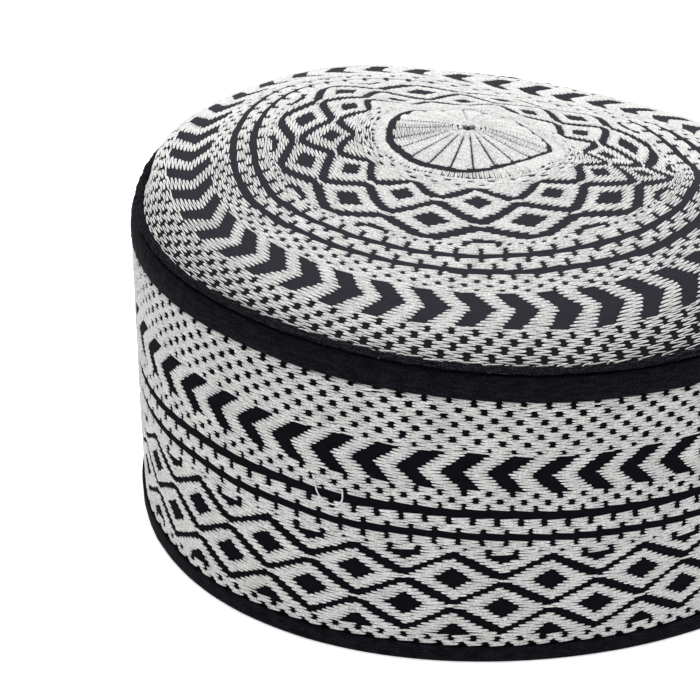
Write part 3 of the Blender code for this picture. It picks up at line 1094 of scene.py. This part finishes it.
# The crown and the wall are one black cloth. The crown's copy has a lighter base colour as painted top
# light and sheen, and the wall's copy a darker one as painted shade. Their gloss differs as well.
crown_ground_painted_light = woven_black(
    "crown_ground_painted_light", (0.0065, 0.0065, 0.011), (0.025, 0.024, 0.035), 0.76, 0.20, painted_shade_below=10.9
)
wall_ground_painted_shade = woven_black("wall_ground_painted_shade", (0.0012, 0.0012, 0.0024), (0.0062, 0.0060, 0.0095), 0.90, 0.03)
thread = embroidery_thread()
strip_cotton = binding_cotton("strip_cotton", STRIP_SHADES, (0.5, 1.6, 1.0), 0.00022)
piping_cotton_painted_top_light = binding_cotton("piping_cotton_painted_top_light", PIPING_PAINTED_TOP_LIGHT_SHADES, (0.8, 2.0, 1.0), 0.00045)
hem_cotton = binding_cotton("hem_cotton", STRIP_SHADES, (0.6, 0.8, 1.0), 0.00016)

wall_cloth = spun_piece(
    "wall_cloth", wall_section(), 360, wall_ground_painted_shade, ["side_wall"], wall_cloth_relief
)
crown_cloth = spun_piece(
    "crown_cloth", crown_section(), 240, crown_ground_painted_light, ["crown"], crown_cloth_relief,
    closed=False, dented=True,
)
top_binding = spun_piece(
    "top_strip", strip_section(), 1080, strip_cotton, ["top_binding"], strip_relief
)
crown_piping = spun_piece(
    "rolled_piping", piping_section(), 1200, piping_cotton_painted_top_light, ["crown_piping"], piping_relief
)
hem_binding = spun_piece(
    "hem_strip", hem_section(), 720, hem_cotton, ["hem_binding"], hem_relief
)

# How far neighbouring threads lean together at their ends, and how uneven their ends are
NEAT = (0.14, 0.34)
COMBED = (0.17, 0.56)
SATIN = (0.05, 0.12)
# Each band of stitches lies between two levels.
WALL_BANDS = [
    ("wall_foot", 4.9, 12.0, COMBED),
    ("wall_lower_diamonds", 12.0, 22.0, COMBED),
    ("wall_upper_diamonds", 22.0, 34.6, COMBED),
    ("wall_bars", 34.6, 50.3, NEAT),
    ("wall_chevrons", 50.3, 61.9, COMBED),
    ("wall_checks", 61.9, 76.1, NEAT),
]
CROWN_BANDS = [
    ("crown_chevrons", 68.4, 79.4, COMBED),
    ("crown_bars", 51.9, 68.4, NEAT),
    ("crown_diamonds", 25.2, 51.9, COMBED),
]


def wall_rows(low, high, manner):
    return sewn_rows(wall_thread_shows, WALL, low, high, lambda level: 1.0, *manner)


def crown_rows(low, high, manner):
    return sewn_rows(crown_thread_shows, CROWN, low, high, lambda level: level * math.pi / 180, *manner)


for band, low, high, manner in WALL_BANDS:
    embroidered(band, wall_place, thread, wall_rows(low, high, manner))
embroidered("crown_checks", crown_place, thread, crown_rows(79.4, 86.9, NEAT))
slack_on_wall = slack_paths(WALL_SPOTS[0], WALL, 1.0, share_of_spots=0.6, reach=(1.3, 2.6), drop=0.7)
loose_threads("wall_loose_threads", wall_place, LOOSE_LOOPS + slack_on_wall, thread)
slack_on_crown = slack_paths(CROWN_SPOTS[0], CROWN, 1.5, share_of_spots=0.6, reach=(1.2, 2.2), drop=0.8)
loose_threads("crown_loose_threads", crown_place, slack_on_crown, thread)
for band, low, high, manner in CROWN_BANDS:
    embroidered(band, crown_place, thread, crown_rows(low, high, manner))
embroidered(
    "crown_medallion", crown_place, thread, crown_rows(0.45, 21.2, SATIN), radial_satin(25.3, 0.46)
)

# Studio

CAMERA_DISTANCE = 733.419
CAMERA_RISE = math.radians(28.631)
CAMERA_YAW = math.radians(2.591)
CAMERA_PITCH = math.radians(0.101)
CAMERA_ROLL = math.radians(3.548)
AIMED_HEIGHT = 40.0
FOCAL_SHARE = 2697.061 / 700
SENSOR = 36.0
NEAREST = 0.05
FURTHEST = 50.0
FLOOR_HALF = 6.0
FLOOR_GREY = 0.93
FLOOR_GLOW = 0.48
AIR_LIGHT = 0.41
WHITE = (1.0, 1.0, 1.0, 1)


def set_camera():
    """Stands the camera in front of the cap, then turns it a little as it was held."""
    away = Vector((0, -math.cos(CAMERA_RISE), math.sin(CAMERA_RISE)))
    stand = away * CAMERA_DISTANCE + Vector((0, 0, AIMED_HEIGHT)) - Vector(MIDDLE)
    look = -away
    right = Vector((1, 0, 0))
    up = right.cross(look)
    base = Matrix((right, -up, look))
    turn = (
        Matrix.Rotation(CAMERA_ROLL, 3, "Z")
        @ Matrix.Rotation(CAMERA_PITCH, 3, "X")
        @ Matrix.Rotation(CAMERA_YAW, 3, "Y")
        @ base
    )
    lens = bpy.data.cameras.new("studio_camera")
    lens.sensor_width = SENSOR
    lens.lens = FOCAL_SHARE * SENSOR
    lens.clip_start = NEAREST
    lens.clip_end = FURTHEST
    camera = bpy.data.objects.new("studio_camera", lens)
    bpy.context.scene.collection.objects.link(camera)
    axes = Matrix((turn[0], -turn[1], -turn[2])).transposed()
    camera.matrix_world = Matrix.Translation(stand * MM) @ axes.to_4x4()
    bpy.context.scene.camera = camera


def add_softbox(name, place, aim, size, energy):
    light = bpy.data.lights.new(name, "AREA")
    light.shape = "SQUARE"
    light.size = size
    light.energy = energy
    lamp = bpy.data.objects.new(name, light)
    bpy.context.scene.collection.objects.link(lamp)
    lamp.location = place
    lamp.rotation_euler = (Vector(aim) - Vector(place)).to_track_quat("-Z", "Y").to_euler()


def set_studio():
    shape = bmesh.new()
    bmesh.ops.create_grid(shape, x_segments=1, y_segments=1, size=FLOOR_HALF)
    mesh = bpy.data.meshes.new("studio_floor")
    shape.to_mesh(mesh)
    shape.free()
    floor = bpy.data.objects.new("studio_floor", mesh)
    bpy.context.scene.collection.objects.link(floor)
    finish, _, shader = new_finish("floor_paper", 0.9)
    shader.inputs["Base Color"].default_value = (FLOOR_GREY, FLOOR_GREY, FLOOR_GREY, 1)
    shader.inputs["Emission Color"].default_value = WHITE
    shader.inputs["Emission Strength"].default_value = FLOOR_GLOW
    mesh.materials.append(finish)
    world = bpy.data.worlds.new("studio_air")
    world.use_nodes = True
    sky = world.node_tree.nodes["Background"]
    sky.inputs["Color"].default_value = WHITE
    sky.inputs["Strength"].default_value = AIR_LIGHT
    bpy.context.scene.world = world
    add_softbox("top_softbox", (0.1, 0.3, 1.7), (0, 0, 0), 2.2, 42.0)
    add_softbox("front_softbox", (-0.9, -1.5, 1.3), (0, 0, 0.05), 0.9, 7.0)
    bpy.context.scene.view_settings.view_transform = "Standard"


set_camera()
set_studio()
